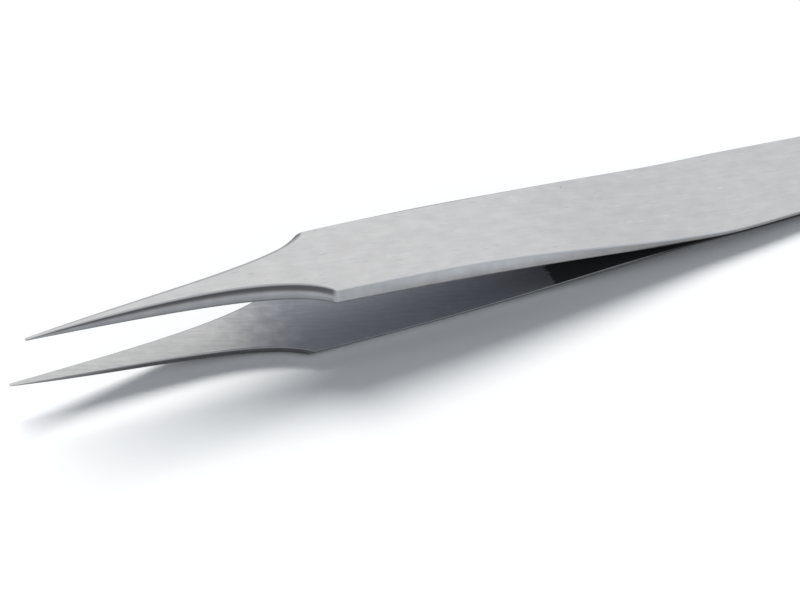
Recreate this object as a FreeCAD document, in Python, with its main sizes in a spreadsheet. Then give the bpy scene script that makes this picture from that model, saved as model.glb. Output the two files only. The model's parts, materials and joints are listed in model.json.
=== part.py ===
import FreeCAD, Part
import math
import os

import Sketcher

# Micro tweezers: two equal spring arms, one turned over on the other and welded flat at the head.
# Millimetres. Each arm is drawn as the upper one, lying along +X from its tip at the origin,
# with the plane between the arms at Z = 0. Both are then laid down together as the tool rests
# on a bench: on the belly of the lower arm and the end of its head, with +Z up.

doc = FreeCAD.newDocument("micro_tweezers")
dims = doc.addObject("Spreadsheet::Sheet", "Dims")

# A station is a distance from the tip. A gap is the clear height between the two arms there,
# a width is that of the inner face, and an inset is how far the ground flank leans in, so the
# outer face is narrower than the inner one by twice the inset. The blade's flanks are relieved:
# a steep wall drops from the outer edge to the wall's height, and the flank leans out from its
# foot. On the grip a short steep foot stands on the inner edge and the bevel leans in above it.
# The guide stations pull the long curves towards them: the arm passes near them.
driving = (
    ("tipWidth", 0.22),
    ("tipGap", 5.2),
    ("tipThickness", 0.09),
    ("tipInset", 0.03),
    ("tipWall", 0.03),
    ("tipEdgeBreak", 0.01),
    ("taperGuideStation", 10.0),
    ("taperGuideWidth", 1.7),
    ("taperGuideGap", 5.8),
    ("taperGuideThickness", 1.4),
    ("taperGuideInset", 0.44),
    ("taperGuideWall", 0.55),
    ("reliefGuideStation", 20.6),
    ("reliefGuideWidth", 2.64),
    ("reliefGuideGap", 5.6),
    ("reliefGuideThickness", 1.45),
    ("reliefGuideInset", 0.7),
    ("reliefGuideWall", 0.8),
    ("shoulderStation", 23.6),
    ("shoulderWidth", 6.7),
    ("shoulderGap", 5.75),
    ("shoulderThickness", 0.93),
    ("shoulderInset", 0.5),
    ("gripGuideStation", 43.4),
    ("gripGuideWidth", 7.6),
    ("gripGuideGap", 4.6),
    ("gripGuideThickness", 1.1),
    ("gripInset", 0.6),
    ("gripFootInset", 0.18),
    ("gripFootHeight", 0.5),
    ("springGuideStation", 52.4),
    ("springGuideWidth", 7.2),
    ("springGuideGap", 0.1),
    ("springGuideThickness", 0.7),
    ("weldStation", 62.0),
    ("weldWidth", 7.9),
    ("weldThickness", 0.42),
    ("headEndStation", 80.0),
    ("headEndWidth", 6.6),
    ("headCornerRadius", 1.6),
    ("edgeBreak", 0.06),
)
for row, (alias, value) in enumerate(driving, start=1):
    dims.set(f"A{row}", alias)
    dims.set(f"B{row}", str(value))
    dims.setAlias(f"B{row}", alias)
doc.recompute()


def curve_weights(share):
    # The four weights of a cubic Bezier curve at a share of its run.
    rest = 1.0 - share
    return (rest**3, 3.0 * rest**2 * share, 3.0 * rest * share**2, share**3)


def mix(weights, terms):
    # A weighted sum of expressions. A term of None is a zero on the curve.
    parts = [
        f"{weight:.6f} * {term}"
        for weight, term in zip(weights, terms)
        if term and weight > 0.0
    ]
    return " + ".join(parts) or "0"


def blade_section(share):
    # Sizes of the blade between the tip and the shoulder.
    weights = curve_weights(share)
    ends = ("tip", "taperGuide", "reliefGuide", "shoulder")
    sizes = {
        size: mix(weights, [f"Dims.{end}{size}" for end in ends])
        for size in ("Width", "Gap", "Thickness", "Inset")
    }
    stations = [None] + [f"Dims.{end}Station" for end in ends[1:]]
    sizes["Station"] = mix(weights, stations)
    feet = [f"(Dims.{end}Thickness - Dims.{end}Wall)" for end in ends[:3]]
    sizes["FootUp"] = mix(weights, feet + ["(Dims.shoulderThickness / 2)"])
    foot_insets = [f"Dims.{end}Inset" for end in ends[:3]]
    sizes["FootInset"] = mix(weights, foot_insets + ["(Dims.shoulderInset / 2)"])
    sizes["Break"] = mix((1.0 - share, share), ("Dims.tipEdgeBreak", "Dims.edgeBreak"))
    sizes["BreakAcross"] = sizes["Break"]
    return sizes


# Shares of the run from the shoulder to the weld where the flanks are bevelled in full,
# and where the bevel has run out into a square edge.
full_bevel_share = 0.2
bevel_end_share = 0.8

# The angle by which each side of the head closes in towards its end.
head_taper = (
    "atan((Dims.weldWidth - Dims.headEndWidth) / 2"
    " / (Dims.headEndStation - Dims.weldStation))"
)
# An edge broken square to a closing side is a little wider when it is measured straight across.
head_break_across = f"(Dims.edgeBreak / cos({head_taper}))"


def body_section(share):
    # Sizes of the grip and spring between the shoulder and the weld.
    weights = curve_weights(share)
    ends = ("shoulder", "gripGuide", "springGuide", "weld")
    sizes = {
        size: mix(weights, [f"Dims.{end}{size}" for end in ends])
        for size in ("Station", "Width", "Thickness")
    }
    gaps = [f"Dims.{end}Gap" for end in ends[:3]] + [None]
    sizes["Gap"] = mix(weights, gaps)
    rise = min(share / full_bevel_share, 1.0)
    run = min(max((share - full_bevel_share) / (bevel_end_share - full_bevel_share), 0.0), 1.0)
    fade = 3.0 * run**2 - 2.0 * run**3
    bevel_weights = ((1.0 - rise) * (1.0 - fade), rise * (1.0 - fade), fade)
    insets = ("Dims.shoulderInset", "Dims.gripInset", head_break_across)
    sizes["Inset"] = mix(bevel_weights, insets)
    foot_insets = ("(Dims.shoulderInset / 2)", "Dims.gripFootInset", None)
    sizes["FootInset"] = mix(bevel_weights, foot_insets)
    feet = ("(Dims.shoulderThickness / 2)", "Dims.gripFootHeight", "(Dims.weldThickness / 2)")
    sizes["FootUp"] = mix(bevel_weights, feet)
    sizes["Break"] = "Dims.edgeBreak"
    sizes["BreakAcross"] = mix((1.0 - fade, fade), ("Dims.edgeBreak", head_break_across))
    return sizes


def origin_plane(body, role):
    return next(plane for plane in body.Origin.OriginFeatures if plane.Role == role)


def add_section(body, name, sizes):
    # A cross-section of the upper arm: wide inner face below, flanks that lean in and bend once
    # at their foot, a small broken edge on each side and the narrower outer face on top.
    sketch = body.newObject("Sketcher::SketchObject", name)
    sketch.AttachmentSupport = (origin_plane(body, "YZ_Plane"), [""])
    sketch.MapMode = "FlatFace"
    sketch.setExpression("AttachmentOffset.Base.z", sizes["Station"])
    corners = (
        (-3.0, 1.0),
        (3.0, 1.0),
        (2.9, 1.4),
        (2.8, 1.8),
        (2.5, 2.0),
        (-2.5, 2.0),
        (-2.8, 1.8),
        (-2.9, 1.4),
    )
    count = len(corners)
    for index, (across, up) in enumerate(corners):
        next_across, next_up = corners[(index + 1) % count]
        start = FreeCAD.Vector(across, up, 0)
        end = FreeCAD.Vector(next_across, next_up, 0)
        sketch.addGeometry(Part.LineSegment(start, end), False)
    for index in range(count):
        sketch.addConstraint(Sketcher.Constraint("Coincident", index, 2, (index + 1) % count, 1))
    for index in range(1, count // 2 + 1):
        opposite = (count + 1 - index) % count
        sketch.addConstraint(Sketcher.Constraint("Symmetric", index, 1, opposite, 1, -2))
    half_width = f"(({sizes['Width']}) / 2)"
    half_gap = f"(({sizes['Gap']}) / 2)"
    outer_half = f"({half_width} - ({sizes['Inset']}))"
    outer_height = f"({half_gap} + {sizes['Thickness']})"
    places = (
        (half_width, half_gap),
        (f"{half_width} - ({sizes['FootInset']})", f"{half_gap} + {sizes['FootUp']}"),
        (f"{outer_half} + {sizes['BreakAcross']}", f"{outer_height} - ({sizes['Break']})"),
        (outer_half, outer_height),
    )
    for index, place in enumerate(places, start=1):
        for kind, expression, guess in zip(("DistanceX", "DistanceY"), place, corners[index]):
            size = sketch.addConstraint(Sketcher.Constraint(kind, -1, 1, index, 1, guess))
            sketch.setExpression(f"Constraints[{size}]", expression)
    doc.recompute()
    return sketch


def add_loft(body, name, sections):
    loft = body.newObject("PartDesign::AdditiveLoft", name)
    loft.Profile = sections[0]
    loft.Sections = sections[1:]
    for section in sections:
        section.Visibility = False
    doc.recompute()


def add_head(body, name):
    # The flat head behind the weld: straight sides that close in, both corners rounded, and
    # the outer edge broken all round. The inner face lies on the plane between the arms.
    sketch = body.newObject("Sketcher::SketchObject", f"{name}_outline")
    sketch.AttachmentSupport = (origin_plane(body, "XY_Plane"), [""])
    sketch.MapMode = "FlatFace"
    start_x, side_x, centre_x, end_x = 62.0, 78.46, 78.4, 80.0
    start_y, side_y, centre_y = 3.95, 3.36, 1.76
    radius = 1.6
    turn = math.atan2(side_y - centre_y, side_x - centre_x)

    def line(from_x, from_y, to_x, to_y):
        start = FreeCAD.Vector(from_x, from_y, 0)
        end = FreeCAD.Vector(to_x, to_y, 0)
        return sketch.addGeometry(Part.LineSegment(start, end), False)

    def arc(across, start_angle, end_angle):
        centre = FreeCAD.Vector(centre_x, across, 0)
        circle = Part.Circle(centre, FreeCAD.Vector(0, 0, 1), radius)
        return sketch.addGeometry(Part.ArcOfCircle(circle, start_angle, end_angle), False)

    weld = line(start_x, -start_y, start_x, start_y)
    left = line(start_x, start_y, side_x, side_y)
    left_corner = arc(centre_y, 0.0, turn)
    end = line(end_x, centre_y, end_x, -centre_y)
    right_corner = arc(-centre_y, -turn, 0.0)
    right = line(side_x, -side_y, start_x, -start_y)
    for constraint in (
        ("Coincident", weld, 2, left, 1),
        ("Tangent", left, 2, left_corner, 2),
        ("Tangent", left_corner, 1, end, 1),
        ("Tangent", end, 2, right_corner, 2),
        ("Coincident", right_corner, 1, right, 1),
        ("Coincident", right, 2, weld, 1),
        ("Symmetric", weld, 1, weld, 2, -1),
        ("Symmetric", left, 2, right, 1, -1),
        ("Symmetric", left_corner, 3, right_corner, 3, -1),
    ):
        sketch.addConstraint(Sketcher.Constraint(*constraint))
    sharp_corner = f"Dims.headEndWidth / 2 + Dims.headCornerRadius * tan({head_taper})"
    centre_across = f"{sharp_corner} - Dims.headCornerRadius / cos({head_taper})"
    sizes = (
        (("Radius", left_corner, radius), "Dims.headCornerRadius"),
        (("DistanceX", -1, 1, weld, 2, start_x), "Dims.weldStation"),
        (("DistanceY", -1, 1, weld, 2, start_y), "Dims.weldWidth / 2"),
        (("DistanceX", -1, 1, end, 1, end_x), "Dims.headEndStation"),
        (("DistanceY", -1, 1, left_corner, 3, centre_y), centre_across),
    )
    for constraint, expression in sizes:
        index = sketch.addConstraint(Sketcher.Constraint(*constraint))
        sketch.setExpression(f"Constraints[{index}]", expression)
    doc.recompute()
    plate = body.newObject("PartDesign::Pad", f"{name}_plate")
    plate.Profile = sketch
    plate.setExpression("Length", "Dims.weldThickness")
    sketch.Visibility = False
    doc.recompute()
    top = dims.weldThickness
    outer_edges = [
        f"Edge{index}"
        for index, edge in enumerate(plate.Shape.Edges, start=1)
        if all(abs(vertex.Z - top) < 1e-6 for vertex in edge.Vertexes)
        and edge.CenterOfMass.x > dims.weldStation + 1e-6
    ]
    broken = body.newObject("PartDesign::Chamfer", f"{name}_broken_edge")
    broken.Base = (plate, outer_edges)
    broken.setExpression("Size", "Dims.edgeBreak")
    doc.recompute()
    print(name, "has", len(outer_edges), "broken edges")


# The blade's sections crowd towards the shoulder, where the relief curve turns fastest.
blade_shares = (0.0, 0.2, 0.4, 0.6, 0.76, 0.9, 1.0)
body_shares = (0.0, 0.2, 0.4, 0.6, 0.8, 0.93, 1.0)


def add_arm(label):
    body = doc.addObject("PartDesign::Body", label)
    body.Label = label
    add_head(body, f"{label}_head")
    grip = [
        add_section(body, f"{label}_grip_{index}", body_section(share))
        for index, share in enumerate(body_shares)
    ]
    add_loft(body, f"{label}_grip", grip)
    blade = [
        add_section(body, f"{label}_blade_{index}", blade_section(share))
        for index, share in enumerate(blade_shares)
    ]
    add_loft(body, f"{label}_blade", blade)
    return body


upper_arm = add_arm("upper_arm")
lower_arm = add_arm("lower_arm")
doc.recompute()


def on_curve(share, ends, size):
    # The value of one size on a curve between the named ends.
    values = [getattr(dims, end + size) if end else 0.0 for end in ends]
    return sum(weight * value for weight, value in zip(curve_weights(share), values))


def resting_pitch():
    # The slope of the bench line that touches the lower arm's belly and the end of its head.
    heel_station = dims.headEndStation - dims.edgeBreak
    steepest = 0.0
    runs = (
        (None, "taperGuide", "reliefGuide", "shoulder"),
        ("shoulder", "gripGuide", "springGuide", "weld"),
    )
    for station_ends in runs:
        first = station_ends[0] or "tip"
        size_ends = (first,) + station_ends[1:]
        gap_ends = size_ends[:3] + (None if size_ends[3] == "weld" else size_ends[3],)
        for step in range(101):
            share = step / 100
            station = on_curve(share, station_ends, "Station")
            depth = on_curve(share, gap_ends, "Gap") / 2
            depth += on_curve(share, size_ends, "Thickness")
            drop = depth - dims.weldThickness
            steepest = max(steepest, math.atan2(drop, heel_station - station))
    return math.degrees(steepest)


# The lower arm is the same piece turned over about its length.
pitch = FreeCAD.Rotation(FreeCAD.Vector(0, 1, 0), resting_pitch())
turned_over = FreeCAD.Rotation(FreeCAD.Vector(1, 0, 0), 180)
upper_arm.Placement = FreeCAD.Placement(FreeCAD.Vector(), pitch)
lower_arm.Placement = FreeCAD.Placement(FreeCAD.Vector(), pitch * turned_over)
doc.recompute()

# The origin is on the bench, under the middle of the tweezers.
box = Part.makeCompound([upper_arm.Shape, lower_arm.Shape]).optimalBoundingBox(False, False)
to_origin = FreeCAD.Vector(-(box.XMin + box.XMax) / 2, 0, -box.ZMin)
for arm in (upper_arm, lower_arm):
    arm.Placement = FreeCAD.Placement(to_origin, arm.Placement.Rotation)
doc.recompute()

failed = [
    item.Name
    for item in doc.Objects
    if "Invalid" in item.State or "Error" in item.State
]
if failed:
    raise RuntimeError(f"these did not compute: {failed}")
for arm in (upper_arm, lower_arm):
    if arm.Shape.isNull() or not arm.Shape.isValid() or len(arm.Shape.Solids) != 1:
        raise RuntimeError(f"{arm.Label} is not one valid solid")
    print(arm.Label, round(arm.Shape.Volume, 3), "cubic mm", arm.Shape.BoundBox)
print("rests pitched by", round(resting_pitch(), 3), "degrees, origin moved by", to_origin)

os.makedirs("parts", exist_ok=True)
for arm in (upper_arm, lower_arm):
    arm.Shape.exportStep(os.path.join("parts", f"{arm.Label}.step"))
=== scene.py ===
import bpy
import json
import math
import numpy as np
from mathutils import Matrix


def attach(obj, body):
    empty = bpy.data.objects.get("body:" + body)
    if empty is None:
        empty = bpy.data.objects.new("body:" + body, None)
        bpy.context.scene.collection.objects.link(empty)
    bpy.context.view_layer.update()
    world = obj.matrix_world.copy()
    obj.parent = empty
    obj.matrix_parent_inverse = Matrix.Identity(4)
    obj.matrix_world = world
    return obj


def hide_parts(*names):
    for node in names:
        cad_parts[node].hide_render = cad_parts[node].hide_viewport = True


# Micro tweezers: two equal steel arms, ground and brushed, welded flat at the head.
# Each arm is worked out in its own frame, in millimetres: x from the tip, y across,
# z up from the plane between the arms. The frame's mounts say where that frame lies.

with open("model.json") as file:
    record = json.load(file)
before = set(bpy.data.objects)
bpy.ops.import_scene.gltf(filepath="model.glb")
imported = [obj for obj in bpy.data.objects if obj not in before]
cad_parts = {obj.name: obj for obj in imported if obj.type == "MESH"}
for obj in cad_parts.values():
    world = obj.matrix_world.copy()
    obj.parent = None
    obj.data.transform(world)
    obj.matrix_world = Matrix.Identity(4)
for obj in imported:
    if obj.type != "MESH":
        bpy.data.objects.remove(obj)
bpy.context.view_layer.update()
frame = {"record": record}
mounts = {mount["name"]: mount for mount in frame["record"]["mounts"]}
tipPlace = np.array(mounts["tips"]["pos_m"])
armUp = np.array(mounts["head_upper_face"]["axis"])
armAcross = np.array([0.0, 1.0, 0.0])
armAlong = np.cross(armAcross, armUp)
armAxes = np.column_stack([armAlong, armAcross, armUp])
millimetre = 0.001
print("frame: tips at", tipPlace, "arms pitched by", round(math.degrees(math.asin(armUp[0])), 3))

# The arm's driving sizes at the two ends and the two guides of each long curve. The painted shade
# of the ground wall grows from wallStart to wallFull and is gone between wallFade and the
# shoulder.
bladeSizes = {
    "station": (0.0, 10.0, 20.6, 23.6),
    "width": (0.22, 1.7, 2.64, 6.7),
    "gap": (5.2, 5.8, 5.6, 5.75),
    "thickness": (0.09, 1.4, 1.45, 0.93),
    "inset": (0.03, 0.44, 0.7, 0.5),
    "wall": (0.03, 0.55, 0.8, 0.465),
    "footInset": (0.03, 0.5, 0.76, 0.25),
    "innerRound": (0.01, 0.1, 0.14, 0.06),
    "outerRound": (0.01, 0.1, 0.13, 0.08),
    "rows": 260,
    "tipRound": 0.04,
    "wallShade": (0.85, 0.9, 1.0, 1.0),
    "wallStart": -0.5,
    "wallFull": 2.5,
    "wallFade": 23.3,
}
# The flank's three sizes are those at the shoulder, on the grip and at the square edge.
gripSizes = {
    "station": (23.6, 43.4, 52.4, 62.0),
    "width": (6.7, 7.6, 7.2, 7.9),
    "gap": (5.75, 4.6, 0.1, 0.0),
    "thickness": (0.93, 1.1, 0.7, 0.42),
    "inset": (0.5, 0.6, 0.06),
    "fullBevelShare": 0.2,
    "bevelEndShare": 0.8,
    "footInset": (0.25, 0.18, 0.0),
    "footHeight": (0.465, 0.5, 0.21),
    "innerRound": (0.06, 0.08, 0.06, 0.05),
    "outerRound": (0.1, 0.45, 0.3, 0.1),
    "rows": 260,
}
headSizes = {
    "end": 80.0,
    "endWidth": 6.6,
    "cornerRadius": 1.6,
    "edgeRound": 0.06,
    "widestReach": 3.0,
    "rows": 24,
    "cornerRows": 28,
    "edgeRows": 6,
}
ringSteps = {
    "innerFace": 8,
    "innerCorner": 5,
    "flank": 16,
    "outerCorner": 8,
    "edgeLine": 2,
    "outerFace": 10,
}
# Two rows of points lie beside the outer edge, at set distances from it or, where the arm is
# narrow, at shares of its half width. The flank's bend reaches over most of both sides, and a
# rounded edge takes at most a share of the thickness.
edgeSizes = {
    "lines": (0.05, 0.1),
    "lineShares": (0.3, 0.5),
    "bendReach": 0.8,
    "roundLimit": 0.3,
}


def onCurve(poles, share):
    # A cubic Bezier curve through the first and last pole, drawn towards the two between.
    rest = 1.0 - share
    weights = (rest**3, 3 * rest**2 * share, 3 * rest * share**2, share**3)
    return sum(weight * pole for weight, pole in zip(weights, poles))


def onBend(first, middle, last, share):
    # A quadratic Bezier curve from the first pole to the last, drawn towards the middle one.
    return (1 - share) ** 2 * first + 2 * share * (1 - share) * middle + share**2 * last


def smoothStep(share):
    share = np.clip(share, 0.0, 1.0)
    return share * share * (3.0 - 2.0 * share)


def bladeRows():
    # The tip's rounded end, then the blade: every size runs on its own Bezier curve.
    sizes = bladeSizes
    turn = np.linspace(math.pi / 2, 0.0, headSizes["edgeRows"] + 1)[:-1]
    back = sizes["tipRound"] * (1.0 - np.sin(turn))
    share = np.linspace(0.0, 1.0, sizes["rows"])
    names = ("station", "width", "gap", "thickness", "inset", "wall", "footInset")
    names += ("innerRound", "outerRound", "wallShade")
    rows = {name: onCurve(sizes[name], share) for name in names}
    rows["shrink"] = np.zeros_like(share)
    # A cubic curve leaves its first pole at three times the distance to the second.
    stationShare = back / sizes["station"][1] / 3.0
    tip = {name: onCurve(sizes[name], stationShare) for name in names}
    tip["shrink"] = sizes["tipRound"] * (1.0 - np.cos(turn))
    keep = rows["station"] > sizes["tipRound"]
    rows = {name: np.concatenate([tip[name], rows[name][keep]]) for name in rows}
    station = rows["station"]
    grows = (station - sizes["wallStart"]) / (sizes["wallFull"] - sizes["wallStart"])
    fades = (station[-1] - station) / (station[-1] - sizes["wallFade"])
    rows["wallShade"] *= np.clip(grows, 0.0, 1.0) * np.clip(fades, 0.0, 1.0)
    rows["footHeight"] = rows["thickness"] - rows.pop("wall")
    return rows


def gripRows():
    # The body from the shoulder to the weld, where each of the flank's sizes fades into the next.
    sizes = gripSizes
    share = np.linspace(0.0, 1.0, sizes["rows"])[1:]
    names = ("station", "width", "gap", "thickness", "innerRound", "outerRound")
    rows = {name: onCurve(sizes[name], share) for name in names}
    rise = np.minimum(share / sizes["fullBevelShare"], 1.0)
    run = (share - sizes["fullBevelShare"]) / (sizes["bevelEndShare"] - sizes["fullBevelShare"])
    fade = smoothStep(run)
    for name in ("inset", "footInset", "footHeight"):
        shoulder, grip, square = sizes[name]
        rows[name] = (shoulder * (1.0 - rise) + grip * rise) * (1.0 - fade) + square * fade
    rows["shrink"] = np.zeros_like(share)
    rows["wallShade"] = np.zeros_like(share)
    return rows


def headRows():
    # The flat head: sides that close in, corners rounded in plan and a rounded end.
    sizes = headSizes
    weld = gripSizes["station"][3]
    weldWidth = gripSizes["width"][3]
    lean = math.atan2((weldWidth - sizes["endWidth"]) / 2, sizes["end"] - weld)
    radius = sizes["cornerRadius"]
    centreAlong = sizes["end"] - radius
    centreAcross = sizes["endWidth"] / 2 + radius * math.tan(lean) - radius / math.cos(lean)
    cornerStart = centreAlong + radius * math.sin(lean)
    sides = np.linspace(weld, cornerStart, sizes["rows"])[1:-1]
    sideWidth = weldWidth - (sides - weld) * 2 * math.tan(lean)
    turn = np.linspace(lean, math.pi / 2, sizes["cornerRows"])
    corner = centreAlong + radius * np.sin(turn)
    cornerWidth = 2 * (centreAcross + radius * np.cos(turn))
    edge = sizes["edgeRound"]
    roundTurn = np.linspace(0.0, math.pi / 2, sizes["edgeRows"] + 1)
    endStation = sizes["end"] - edge + edge * np.sin(roundTurn)
    outline = np.concatenate([sides, corner])
    outlineWidth = np.concatenate([sideWidth, cornerWidth])
    keep = outline < sizes["end"] - edge
    station = np.concatenate([outline[keep], endStation])
    shrink = np.concatenate([np.zeros(keep.sum()), edge * (1.0 - np.cos(roundTurn))])
    rows = {"station": station, "shrink": shrink, "wallShade": np.zeros_like(station)}
    rows["width"] = np.interp(station, outline, outlineWidth)
    constants = {"gap": 0.0, "thickness": gripSizes["thickness"][3]}
    constants |= {name: gripSizes[name][2] for name in ("inset", "footInset", "footHeight")}
    constants |= {name: gripSizes[name][3] for name in ("innerRound", "outerRound")}
    for name, value in constants.items():
        rows[name] = np.full_like(station, value)
    return rows


def roundCorner(corner, normalIn, normalOut, radius, steps):
    # An arc in the corner between two sides whose outward normals are given, for every row.
    startAngle = np.arctan2(normalIn[:, 1], normalIn[:, 0])
    endAngle = np.arctan2(normalOut[:, 1], normalOut[:, 0])
    meet = 1.0 + (normalIn * normalOut).sum(1)
    centre = corner - (normalIn + normalOut) * (radius / meet)[:, None]
    share = np.linspace(0.0, 1.0, steps)
    angle = startAngle[:, None] + (endAngle - startAngle)[:, None] * share
    normal = np.stack([np.cos(angle), np.sin(angle)], axis=2)
    return centre[:, None] + normal * radius[:, None, None], normal


def turnOut(direction):
    # The outward normal of a side that is walked from the inner face round to the outer face.
    normal = np.stack([direction[..., 1], -direction[..., 0]], axis=-1)
    return normal / np.linalg.norm(normal, axis=-1, keepdims=True)


def halfRing(rows):
    # Half of every cross-section, from the middle of the inner face round to the middle of the
    # outer face: two flats, a bent flank and a rounded corner at each end of it.
    halfWidth = rows["width"] / 2 - rows["shrink"]
    low = rows["gap"] / 2 + rows["shrink"]
    high = rows["gap"] / 2 + rows["thickness"] - rows["shrink"]
    inner = np.stack([halfWidth, low], axis=1)
    outer = np.stack([halfWidth - rows["inset"], high], axis=1)
    # The flank bends once at its foot: in towards a steep wall under the outer edge on the
    # blade, and out towards a steep foot on the inner edge on the grip.
    footUp = rows["footHeight"] / rows["thickness"] * (high - low)
    bend = inner + np.stack([-rows["footInset"], footUp], axis=1)
    leaving = turnOut(bend - inner)
    arriving = turnOut(outer - bend)
    down = np.tile([0.0, -1.0], (len(low), 1))
    up = np.tile([0.0, 1.0], (len(low), 1))
    limit = (high - low) * edgeSizes["roundLimit"]
    innerRound = np.minimum(rows["innerRound"], limit)
    outerRound = np.minimum(rows["outerRound"], limit)
    innerArc, innerNormal = roundCorner(inner, down, leaving, innerRound, ringSteps["innerCorner"])
    outerArc, outerNormal = roundCorner(outer, arriving, up, outerRound, ringSteps["outerCorner"])
    first = bend + (innerArc[:, -1] - bend) * edgeSizes["bendReach"]
    last = bend + (outerArc[:, 0] - bend) * edgeSizes["bendReach"]
    share = np.linspace(0.0, 1.0, ringSteps["flank"])[:, None]
    first, middle, last = first[:, None], bend[:, None], last[:, None]
    flank = onBend(first, middle, last, share)
    flankNormal = turnOut((1 - share) * (middle - first) + share * (last - middle))
    across = np.linspace(0.0, 1.0, ringSteps["innerFace"] + 1)[:-1]
    innerFace = np.stack([innerArc[:, :1, 0] * across, np.tile(low[:, None], len(across))], axis=2)
    outerHalf = outerArc[:, -1:, 0]
    farthest = outerHalf * np.array(edgeSizes["lineShares"])
    line = outerHalf - np.minimum(edgeSizes["lines"], farthest)
    across = np.linspace(1.0, 0.0, ringSteps["outerFace"] + 1)[1:]
    across = np.concatenate([line, line[:, -1:] * across], axis=1)
    outerFace = np.stack([across, np.tile(high[:, None], across.shape[1])], axis=2)
    points = np.concatenate([innerFace, innerArc, flank, outerArc, outerFace], axis=1)
    normals = np.concatenate(
        [
            np.broadcast_to(down[:, None], innerFace.shape),
            innerNormal,
            flankNormal,
            outerNormal,
            np.broadcast_to(up[:, None], outerFace.shape),
        ],
        axis=1,
    )
    return points, normals


# The painted shade of the wall rises between two shares of the flank's run, middle and full. The
# others are strengths of painted shade: at the flank's foot, at the least, on the inner corner and
# in the dark line on the edge.
maskSizes = {
    "middle": 0.38,
    "full": 0.78,
    "low": 0.6,
    "least": 0.22,
    "corner": 0.8,
    "cornerRange": (15.0, 19.5),
    "line": 0.5,
}
# How much of the painted wall shade, and of the painted inner corner shade on the blade, each arm
# shows. The corner's shade grows to its full strength over the mask's range of stations.
armShades = {
    "upperArm": {"wall": 1.0, "bladeCorner": 1.0},
    "lowerArm": {"wall": 0.4, "bladeCorner": 0.5},
}
finishSlots = {"inside": 0, "flank": 1, "outside": 2}


def ringMasks():
    # Three masks round half a ring: painted shade on the steep wall under the outer edge, a
    # painted highlight on the outer edge itself and painted shade on the inner corner. Below the
    # wall its shade fades to the least and comes back at the bottom. Above, it ends in a thin
    # painted dark line along the edge.
    sizes = maskSizes
    flank = np.linspace(0.0, 1.0, ringSteps["flank"])
    rise = smoothStep((flank - sizes["middle"]) / (sizes["full"] - sizes["middle"]))
    low = (sizes["low"] - sizes["least"]) * smoothStep(1.0 - flank / sizes["middle"])
    shade = sizes["least"] + (1.0 - sizes["least"]) * rise + low
    arc = np.linspace(0.0, 1.0, ringSteps["outerCorner"])
    inside = np.zeros(ringSteps["innerFace"])
    corner = np.full(ringSteps["innerCorner"], sizes["corner"])
    outside = np.zeros(ringSteps["outerFace"] + ringSteps["edgeLine"])
    line = np.where(np.arange(len(outside)) == 0, sizes["line"], 0.0)
    # Over the first half of the outer edge's arc the shade falls to that of the line.
    fall = 1.0 - (1.0 - sizes["line"]) * np.minimum(2.0 * arc, 1.0)
    noCorner, noFlank, noArc = (np.zeros_like(part) for part in (corner, flank, arc))
    wall = np.concatenate([inside, noCorner, shade, fall, line])
    # The painted highlight rises and falls across the outer edge's arc.
    edge = np.concatenate([inside, noCorner, noFlank, np.sin(math.pi * arc), outside])
    corner = np.concatenate([inside, corner, noFlank, noArc, outside])
    return wall, edge, corner


def ringFinishes():
    # Which finish each strip of faces round a ring has.
    inside, flank, outside = (finishSlots[name] for name in ("inside", "flank", "outside"))
    flankStart = ringSteps["innerFace"]
    flankEnd = flankStart + ringSteps["innerCorner"] + ringSteps["flank"] - 1
    strip = np.arange(sum(ringSteps.values()) - 1)
    half = np.where(strip < flankStart, inside, np.where(strip <= flankEnd, flank, outside))
    return np.concatenate([half, half[::-1]])


def roundWidest(station, width):
    # Round the corner in plan where the grip is widest: a bend from one side of the weld's start
    # to the other, with the corner as its middle pole.
    weld, reach = gripSizes["station"][3], headSizes["widestReach"]
    first, last = np.interp([weld - reach, weld + reach], station, width)
    share = (station - weld + reach) / (2 * reach)
    curve = onBend(first, gripSizes["width"][3], last, share)
    return np.where(np.abs(station - weld) < reach, curve, width)


def armSurface(shades):
    # The whole arm as a grid of rings: places and normals in its own frame, and what its steel
    # reads at each point: the painted shade on the wall and inner corner, the painted highlight on
    # the edge and the grain's coordinates, which are the station, the place across and the share
    # of the thickness.
    parts = [bladeRows(), gripRows(), headRows()]
    rows = {name: np.concatenate([part[name] for part in parts]) for name in parts[0]}
    rows["width"] = roundWidest(rows["station"], rows["width"])
    points, normals = halfRing(rows)
    mirrored = np.array([-1.0, 1.0])
    points = np.concatenate([points, points[:, -2:0:-1] * mirrored], axis=1)
    normals = np.concatenate([normals, normals[:, -2:0:-1] * mirrored], axis=1)
    station = np.broadcast_to(rows["station"][:, None], points.shape[:2])
    place = np.concatenate([station[..., None], points], axis=2)
    # A ring's normal leans along the arm where the section grows or shrinks.
    growth = np.gradient(points, rows["station"], axis=0)
    lean = -(growth * normals).sum(2)
    normal = np.concatenate([lean[..., None], normals], axis=2)
    normal[0] = (-1.0, 0.0, 0.0)
    normal[-1] = (1.0, 0.0, 0.0)
    normal /= np.linalg.norm(normal, axis=2, keepdims=True)
    height = (points[..., 1] - rows["gap"][:, None] / 2) / rows["thickness"][:, None]
    grain = np.stack([station, points[..., 0], height], axis=2)
    wall, edge, corner = (np.concatenate([mask, mask[-2:0:-1]]) for mask in ringMasks())
    wallShade = rows["wallShade"] * shades["wall"]
    cornerGrowth = (shades["bladeCorner"], 1.0)
    cornerShade = np.interp(rows["station"], maskSizes["cornerRange"], cornerGrowth)
    # The painted shade: that of the wall or of the inner corner, whichever is stronger.
    wall = np.maximum(wallShade[:, None] * wall, cornerShade[:, None] * corner)
    # The painted edge highlight is the same in every row.
    edge = np.broadcast_to(edge, wall.shape)
    return place, normal, {"grainPlace": grain, "paintedShade": wall, "paintedEdgeHighlight": edge}


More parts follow.
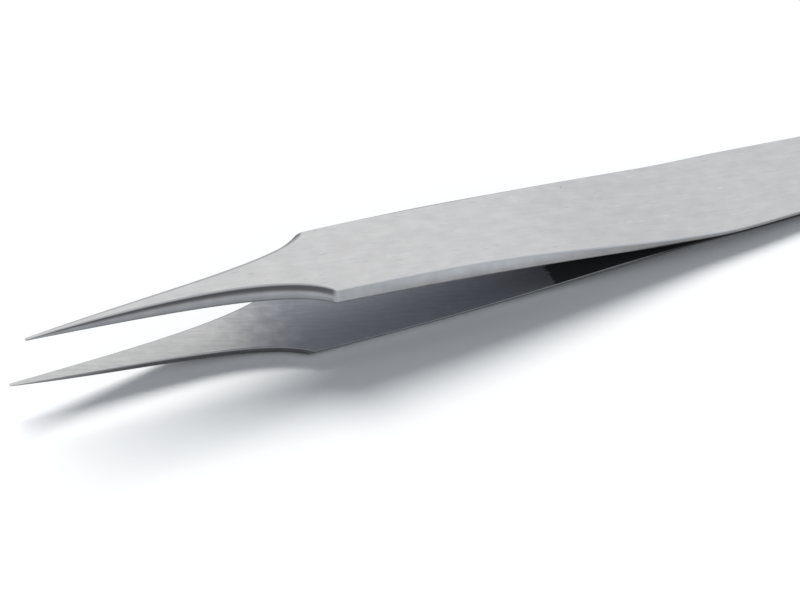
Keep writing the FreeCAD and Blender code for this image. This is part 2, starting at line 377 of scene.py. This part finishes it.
def addArm(name, turnedOver):
    # The lower arm is the upper one turned half round about its length.
    place, normal, attributes = armSurface(armShades[name])
    rowCount, ringCount = place.shape[:2]
    if turnedOver:
        place = place * np.array([1.0, -1.0, -1.0])
        normal = normal * np.array([1.0, -1.0, -1.0])
    place = place.reshape(-1, 3) * millimetre @ armAxes.T + tipPlace
    normal = normal.reshape(-1, 3) @ armAxes.T
    index = np.arange(rowCount * ringCount).reshape(rowCount, ringCount)
    here, after = index, np.roll(index, -1, axis=1)
    quads = np.stack([here[:-1], after[:-1], after[1:], here[1:]], axis=2).reshape(-1, 4)
    faces = quads.tolist() + [index[0, ::-1].tolist(), index[-1].tolist()]
    mesh = bpy.data.meshes.new(name)
    mesh.from_pydata(place, [], faces)
    mesh.polygons.foreach_set("use_smooth", np.ones(len(faces), dtype=bool))
    for label, values in attributes.items():
        kind, field = ("FLOAT_VECTOR", "vector") if values.ndim == 3 else ("FLOAT", "value")
        attribute = mesh.attributes.new(label, kind, "POINT")
        attribute.data.foreach_set(field, np.ascontiguousarray(values, np.float32).reshape(-1))
    sides = np.tile(ringFinishes(), rowCount - 1)
    ends = [finishSlots["flank"]] * 2
    mesh.polygons.foreach_set("material_index", np.concatenate([sides, ends]).astype(np.int32))
    arm = bpy.data.objects.new(name, mesh)
    bpy.context.scene.collection.objects.link(arm)
    mesh.normals_split_custom_set_from_vertices(normal)
    return arm


def feed(tree, socket, value):
    # A socket takes a link or a plain value.
    if isinstance(value, bpy.types.NodeSocket):
        tree.links.new(value, socket)
    else:
        socket.default_value = value


def calculate(tree, operation, *values):
    node = tree.nodes.new("ShaderNodeMath")
    node.operation = operation
    for socket, value in zip(node.inputs, values):
        feed(tree, socket, value)
    return node.outputs[0]


def ramp(tree, value, fromRange, toRange, smooth=False):
    node = tree.nodes.new("ShaderNodeMapRange")
    node.interpolation_type = "SMOOTHSTEP" if smooth else "LINEAR"
    for name, number in zip(("From Min", "From Max", "To Min", "To Max"), fromRange + toRange):
        feed(tree, node.inputs[name], number)
    feed(tree, node.inputs["Value"], value)
    return node.outputs["Result"]


def blendColours(tree, share, first, second, blend="MIX"):
    # A mix node of colours has its share at input 0, its colours at 6 and 7, its result at 2.
    node = tree.nodes.new("ShaderNodeMix")
    node.data_type = "RGBA"
    node.blend_type = blend
    for index, value in ((0, share), (6, first), (7, second)):
        if isinstance(value, tuple):
            value = value + (1.0,)
        feed(tree, node.inputs[index], value)
    return node.outputs[2]


def stretchedNoise(tree, place, scale, detail):
    # Noise whose grains are as long, wide and high as the three parts of scale say.
    stretch = tree.nodes.new("ShaderNodeVectorMath")
    stretch.operation = "DIVIDE"
    tree.links.new(place, stretch.inputs[0])
    size = tree.nodes.new("ShaderNodeCombineXYZ")
    for socket, value in zip(size.inputs, scale):
        feed(tree, socket, value)
    tree.links.new(size.outputs[0], stretch.inputs[1])
    noise = tree.nodes.new("ShaderNodeTexNoise")
    noise.inputs["Scale"].default_value = 1.0
    noise.inputs["Detail"].default_value = detail
    tree.links.new(stretch.outputs[0], noise.inputs["Vector"])
    return noise.outputs["Fac"]


# Each kind of grain has its length and width as shares of a fine line's.
brushSizes = {
    "broad": (2.2, 2.6),
    "patch": (0.7, 9.0),
    "mark": (0.55, 1.7),
    "lineDetail": 2.0,
    "softDetail": 1.0,
    "lineRange": (0.65, 1.35),
    "mottleRange": (0.25, 0.75),
    "scratchRange": (0.66, 0.78),
    "fleckRange": (0.32, 0.2),
    "pitsPerMillimetre": 0.45,
    "pitRange": (0.02, 0.06),
}


def grainSize(tree, length, width, shares):
    across = calculate(tree, "MULTIPLY", width, shares[1])
    return calculate(tree, "MULTIPLY", length, shares[0]), across, across


def brushLines():
    # Lines: fine and broad strokes along the arm, turned by Skew. Mottle: soft patches. Scratches
    # and Flecks: short dark and pale strokes, a few here and there. Pits: small round marks, far
    # apart. Lengths are in millimetres and Skew is in radians.
    sizes = brushSizes
    tree = bpy.data.node_groups.new("brushLines", "ShaderNodeTree")
    tree.interface.new_socket("Place", in_out="INPUT", socket_type="NodeSocketVector")
    for name in ("Line Length", "Line Width", "Skew"):
        tree.interface.new_socket(name, in_out="INPUT", socket_type="NodeSocketFloat")
    for name in ("Lines", "Mottle", "Scratches", "Flecks", "Pits"):
        tree.interface.new_socket(name, in_out="OUTPUT", socket_type="NodeSocketFloat")
    given = tree.nodes.new("NodeGroupInput").outputs
    result = tree.nodes.new("NodeGroupOutput").inputs
    turn = tree.nodes.new("ShaderNodeVectorRotate")
    turn.rotation_type = "Z_AXIS"
    feed(tree, turn.inputs["Vector"], given["Place"])
    feed(tree, turn.inputs["Angle"], given["Skew"])
    place = turn.outputs[0]
    length, width = given["Line Length"], given["Line Width"]
    broadSize, patchSize, markSize = (
        grainSize(tree, length, width, sizes[name]) for name in ("broad", "patch", "mark")
    )
    fine = stretchedNoise(tree, place, (length, width, width), sizes["lineDetail"])
    broad = stretchedNoise(tree, place, broadSize, sizes["lineDetail"])
    patches = stretchedNoise(tree, place, patchSize, sizes["softDetail"])
    marks = stretchedNoise(tree, place, markSize, sizes["softDetail"])
    cells = tree.nodes.new("ShaderNodeTexVoronoi")
    cells.inputs["Scale"].default_value = sizes["pitsPerMillimetre"]
    feed(tree, cells.inputs["Vector"], given["Place"])
    both = calculate(tree, "ADD", fine, broad)
    for name, value, fromRange, toRange in (
        ("Lines", both, sizes["lineRange"], (0.0, 1.0)),
        ("Mottle", patches, sizes["mottleRange"], (0.0, 1.0)),
        ("Scratches", marks, sizes["scratchRange"], (0.0, 1.0)),
        ("Flecks", marks, sizes["fleckRange"], (0.0, 1.0)),
        ("Pits", cells.outputs["Distance"], sizes["pitRange"], (1.0, 0.0)),
    ):
        feed(tree, result[name], ramp(tree, value, fromRange, toRange))
    return tree


def steelMaterial(name, lines):
    # The steel shader with its brush lines. Returns what each finish adds its colours with: the
    # material, its tree and shader, the brush's outputs and the grain's coordinates.
    material = bpy.data.materials.new(name)
    material.use_nodes = True
    tree = material.node_tree
    shader = tree.nodes["Principled BSDF"]
    shader.inputs["Metallic"].default_value = 1.0
    grain = tree.nodes.new("ShaderNodeAttribute")
    grain.attribute_name = "grainPlace"
    brush = tree.nodes.new("ShaderNodeGroup")
    brush.node_tree = lines["group"]
    feed(tree, brush.inputs["Place"], grain.outputs["Vector"])
    feed(tree, brush.inputs["Line Length"], lines["length"])
    feed(tree, brush.inputs["Line Width"], lines["width"])
    feed(tree, brush.inputs["Skew"], math.radians(lines["skew"]))
    relief = tree.nodes.new("ShaderNodeBump")
    relief.inputs["Strength"].default_value = lines["bump"]
    relief.inputs["Distance"].default_value = lines["depth"] * millimetre
    feed(tree, relief.inputs["Height"], brush.outputs["Lines"])
    feed(tree, shader.inputs["Normal"], relief.outputs["Normal"])
    roughness = ramp(tree, brush.outputs["Lines"], (0.0, 1.0), lines["roughness"])
    feed(tree, shader.inputs["Roughness"], roughness)
    split = tree.nodes.new("ShaderNodeSeparateXYZ")
    feed(tree, split.inputs[0], grain.outputs["Vector"])
    return material, tree, shader, brush.outputs, split.outputs


def readMask(tree, name):
    # One of the masks that armSurface works out.
    mask = tree.nodes.new("ShaderNodeAttribute")
    mask.attribute_name = name
    return mask.outputs["Fac"]


outerFinish = {
    "length": 2.4,
    "width": 0.1,
    "skew": 3.0,
    "bump": 0.5,
    "depth": 0.003,
    "roughness": (0.4, 0.3),
    "darkLine": (0.572, 0.572, 0.578),
    "paleLine": (0.672, 0.672, 0.678),
    "lineShare": 0.4,
    "Scratches": (0.52, 0.52, 0.525),
    "Flecks": (0.7, 0.7, 0.705),
    "dullRange": (40.0, 50.0),
    "dull": (0.94, 0.94, 0.95),
    "Pits": (0.42, 0.42, 0.43),
    # A painted highlight along the rounded outer edge.
    "edge": (0.69, 0.69, 0.7),
    # The painted shade of the wall, where it reaches the outer face's edge.
    "wall": (0.23, 0.23, 0.24),
}


def outerSteel(group):
    # Brushed outer face: lines over soft patches, darker towards the head, with scratches, flecks
    # and pits, a painted highlight on the edge and, beside the blade's edge, the end of the
    # painted wall shade.
    finish = outerFinish
    material, tree, shader, brush, grain = steelMaterial("brushedOuter", finish | {"group": group})
    lines = calculate(tree, "MULTIPLY", brush["Lines"], finish["lineShare"])
    patches = calculate(tree, "MULTIPLY", brush["Mottle"], 1.0 - finish["lineShare"])
    share = calculate(tree, "ADD", lines, patches)
    colour = blendColours(tree, share, finish["darkLine"], finish["paleLine"])
    along = ramp(tree, grain["X"], finish["dullRange"], (0.0, 1.0), smooth=True)
    colour = blendColours(tree, along, colour, finish["dull"], "MULTIPLY")
    for name in ("Scratches", "Flecks", "Pits"):
        colour = blendColours(tree, brush[name], colour, finish[name])
    # Painted highlight along the rounded outer edge.
    colour = blendColours(tree, readMask(tree, "paintedEdgeHighlight"), colour, finish["edge"])
    # Painted shade from the wall, along the blade's outer edge.
    colour = blendColours(tree, readMask(tree, "paintedShade"), colour, finish["wall"])
    feed(tree, shader.inputs["Base Color"], colour)
    return material


flankFinish = {
    "length": 1.6,
    "width": 0.12,
    "skew": 0.0,
    "bump": 0.4,
    "depth": 0.003,
    "roughness": (0.42, 0.34),
    "darkLine": (0.64, 0.635, 0.648),
    "paleLine": (0.765, 0.757, 0.765),
    # The painted shade on the wall and the inner corner.
    "wall": (0.23, 0.23, 0.24),
    # Painted shade in the seam where the arms come together, at the flank's foot.
    "seamRange": (50.0, 57.0),
    "seamHeight": (0.2, 0.42),
    "seamShade": (0.06, 0.06, 0.063),
}


def flankSteel(group):
    # Ground flanks, with painted shade on the steep wall under the blade's outer edge. The foot of
    # the flank is painted black with shade where the two arms come together.
    finish = flankFinish
    material, tree, shader, brush, grain = steelMaterial("groundFlank", finish | {"group": group})
    colour = blendColours(tree, brush["Mottle"], finish["darkLine"], finish["paleLine"])
    # Painted shade on the wall and the inner corner.
    colour = blendColours(tree, readMask(tree, "paintedShade"), colour, finish["wall"])
    # Painted shade in the seam where the two arms come together.
    along = ramp(tree, grain["X"], finish["seamRange"], (0.0, 1.0), smooth=True)
    foot = ramp(tree, grain["Z"], finish["seamHeight"], (1.0, 0.0))
    seamShade = calculate(tree, "MULTIPLY", along, foot)
    colour = blendColours(tree, seamShade, colour, finish["seamShade"])
    feed(tree, shader.inputs["Base Color"], colour)
    return material


innerFinish = {
    "length": 1.5,
    "width": 0.08,
    "skew": -14.0,
    "bump": 0.5,
    "depth": 0.003,
    "roughness": (0.55, 0.45),
    "darkLine": (0.86, 0.86, 0.86),
    "mottle": (0.93, 0.93, 0.93),
    "gripShadeRange": (15.8, 24.3),
    "gripRagged": 1.0,
    "blade": (0.71, 0.71, 0.705),
    # The grip is painted darker and cooler: shade where the other arm lies close over it.
    "grip": (0.402, 0.416, 0.464),
    "rawStart": 44.8,
    "rawRagged": 0.25,
    "rawBlend": 0.12,
    "raw": (0.03, 0.031, 0.033),
}


def innerSteel(group):
    # Inner face: bright ground blades, a grip darkened and cooled by painted shade where the other
    # arm lies close over it and, past a ragged line, black raw steel.
    finish = innerFinish
    material, tree, shader, brush, grain = steelMaterial("groundInner", finish | {"group": group})
    patchy = ramp(tree, brush["Mottle"], (0.0, 1.0), (-finish["gripRagged"], finish["gripRagged"]))
    along = calculate(tree, "ADD", grain["X"], patchy)
    along = ramp(tree, along, finish["gripShadeRange"], (0.0, 1.0), smooth=True)
    # Painted shade on the grip, where the other arm lies close over the inner face.
    colour = blendColours(tree, along, finish["blade"], finish["grip"])
    colour = blendColours(tree, brush["Mottle"], colour, finish["mottle"], "MULTIPLY")
    dark = ramp(tree, brush["Lines"], (0.0, 1.0), (1.0, 0.0))
    colour = blendColours(tree, dark, colour, finish["darkLine"], "MULTIPLY")
    ragged = ramp(tree, brush["Lines"], (0.0, 1.0), (-finish["rawRagged"], finish["rawRagged"]))
    edge = calculate(tree, "ADD", grain["X"], ragged)
    start = finish["rawStart"]
    raw = ramp(tree, edge, (start, start + finish["rawBlend"]), (0.0, 1.0))
    feed(tree, shader.inputs["Base Color"], blendColours(tree, raw, colour, finish["raw"]))
    feed(tree, shader.inputs["Metallic"], calculate(tree, "SUBTRACT", 1.0, raw))
    return material


# The steels stand in the order of finishSlots.
brushGroup = brushLines()
steels = [innerSteel(brushGroup), flankSteel(brushGroup), outerSteel(brushGroup)]
for name, node, turnedOver in (
    ("upperArm", "upper_arm", False),
    ("lowerArm", "lower_arm", True),
):
    arm = addArm(name, turnedOver)
    for steel in steels:
        arm.data.materials.append(steel)
    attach(arm, "root")
    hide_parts(node)
print("arms built")

floorSizes = {"side": 4.0, "colour": 0.8, "mirrored": 0.38, "seen": 1.0}


def addFloor():
    # A pale bench: white to the camera, and dimmer where steel mirrors it.
    half = floorSizes["side"] / 2
    mesh = bpy.data.meshes.new("benchTop")
    corners = [(-half, -half, 0.0), (half, -half, 0.0), (half, half, 0.0), (-half, half, 0.0)]
    mesh.from_pydata(corners, [], [(0, 1, 2, 3)])
    floor = bpy.data.objects.new("benchTop", mesh)
    bpy.context.scene.collection.objects.link(floor)
    material = bpy.data.materials.new("paleBench")
    material.use_nodes = True
    tree = material.node_tree
    tree.nodes.remove(tree.nodes["Principled BSDF"])
    paint = tree.nodes.new("ShaderNodeBsdfDiffuse")
    path = tree.nodes.new("ShaderNodeLightPath")
    plain, mirrored, seen = ((floorSizes[name],) * 3 for name in ("colour", "mirrored", "seen"))
    colour = blendColours(tree, path.outputs["Is Glossy Ray"], plain, mirrored)
    colour = blendColours(tree, path.outputs["Is Camera Ray"], colour, seen)
    feed(tree, paint.inputs["Color"], colour)
    feed(tree, tree.nodes["Material Output"].inputs["Surface"], paint.outputs[0])
    mesh.materials.append(material)


addFloor()
print("floor laid")

lightSizes = {
    "sunAzimuth": -15.0,
    "sunElevation": 52.0,
    "sunWidth": 24.0,
    "sunShare": 0.7,
    "fill": (0.325, 0.345, 0.365),
    "skyAxis": (0.2, 0.7, 0.68),
    "dimFacing": 0.3,
    "brightFacing": 0.85,
    "dimSky": (0.61, 0.65, 0.69),
    "brightSky": (1.0, 1.0, 1.0),
    "backdrop": (1.0, 1.0, 1.0),
}


def pointing(azimuth, elevation):
    # A unit vector whose azimuth is turned from +Y towards +X.
    level = math.cos(elevation)
    return np.array([math.sin(azimuth) * level, math.cos(azimuth) * level, math.sin(elevation)])


def addLight():
    # One soft key light from behind the tool, which the steel doesn't mirror. The floor gets the
    # same share of light from it at any elevation.
    azimuth = math.radians(lightSizes["sunAzimuth"])
    elevation = math.radians(lightSizes["sunElevation"])
    towards = pointing(azimuth, elevation)
    data = bpy.data.lights.new("softKey", "SUN")
    data.angle = math.radians(lightSizes["sunWidth"])
    data.energy = lightSizes["sunShare"] * math.pi / math.sin(elevation)
    key = bpy.data.objects.new("softKey", data)
    side = np.cross([0.0, 0.0, 1.0], towards)
    side /= np.linalg.norm(side)
    above = np.cross(towards, side)
    key.matrix_world = Matrix(np.column_stack([side, above, towards])).to_4x4()
    key.visible_glossy = False
    bpy.context.scene.collection.objects.link(key)


addLight()


def addWorld():
    # White to the camera. Steel mirrors a bright sky behind and above the tool, which fades to
    # a dimmer, cooler one on the camera's side. The rest is an even, slightly cool fill.
    world = bpy.data.worlds.new("studio")
    bpy.context.scene.world = world
    world.use_nodes = True
    tree = world.node_tree
    path = tree.nodes.new("ShaderNodeLightPath")
    place = tree.nodes.new("ShaderNodeTexCoord")
    facing = tree.nodes.new("ShaderNodeVectorMath")
    facing.operation = "DOT_PRODUCT"
    feed(tree, facing.inputs[0], place.outputs["Generated"])
    feed(tree, facing.inputs[1], lightSizes["skyAxis"])
    fade = (lightSizes["dimFacing"], lightSizes["brightFacing"])
    share = ramp(tree, facing.outputs["Value"], fade, (0.0, 1.0), smooth=True)
    sky = blendColours(tree, share, lightSizes["dimSky"], lightSizes["brightSky"])
    colour = blendColours(tree, path.outputs["Is Glossy Ray"], lightSizes["fill"], sky)
    colour = blendColours(tree, path.outputs["Is Camera Ray"], colour, lightSizes["backdrop"])
    feed(tree, tree.nodes["Background"].inputs["Color"], colour)


addWorld()
print("light set")

# The viewing angle: turned from the arms' own side view, with the picture's roll, and the
# pixel of an 800 by 600 picture on which the aim point falls. The picture's pixels also give
# the focal length. Distances are in millimetres, and the clip's in metres.
cameraView = {
    "azimuth": 48.223,
    "elevation": 46.729,
    "roll": 25.403,
    "aimStation": 30.0,
    "aimPixel": (377.872, 276.289),
    "distance": 224.701,
    "focalPixels": 3000.0,
    "picture": (800.0, 600.0),
    "sensorWidth": 36.0,
    "clip": (0.01, 20.0),
}


def addCamera():
    view = cameraView
    azimuth, elevation, roll = (
        math.radians(view[name]) for name in ("azimuth", "elevation", "roll")
    )
    # The camera stands on the -Y side, and back points from the aim point to it.
    back = pointing(azimuth, elevation) * np.array([-1.0, -1.0, 1.0])
    right = np.cross(-back, [0.0, 0.0, 1.0])
    right /= np.linalg.norm(right)
    above = np.cross(right, -back)
    rolledRight = math.cos(roll) * right + math.sin(roll) * above
    rolledAbove = -math.sin(roll) * right + math.cos(roll) * above
    perPixel = view["distance"] / view["focalPixels"]
    offRight = (view["aimPixel"][0] - view["picture"][0] / 2) * perPixel
    offAbove = (view["picture"][1] / 2 - view["aimPixel"][1]) * perPixel
    eye = np.array([view["aimStation"], 0.0, 0.0]) + back * view["distance"]
    eye -= rolledRight * offRight + rolledAbove * offAbove
    axes = armAxes @ np.column_stack([rolledRight, rolledAbove, back])
    data = bpy.data.cameras.new("photoView")
    data.sensor_width = view["sensorWidth"]
    data.lens = view["focalPixels"] * view["sensorWidth"] / view["picture"][0]
    data.clip_start, data.clip_end = view["clip"]
    camera = bpy.data.objects.new("photoView", data)
    place = Matrix.Translation(armAxes @ eye * millimetre + tipPlace)
    camera.matrix_world = place @ Matrix(axes).to_4x4()
    bpy.context.scene.collection.objects.link(camera)
    bpy.context.scene.camera = camera


addCamera()
print("camera set")
bpy.context.scene.view_settings.view_transform = "Standard"
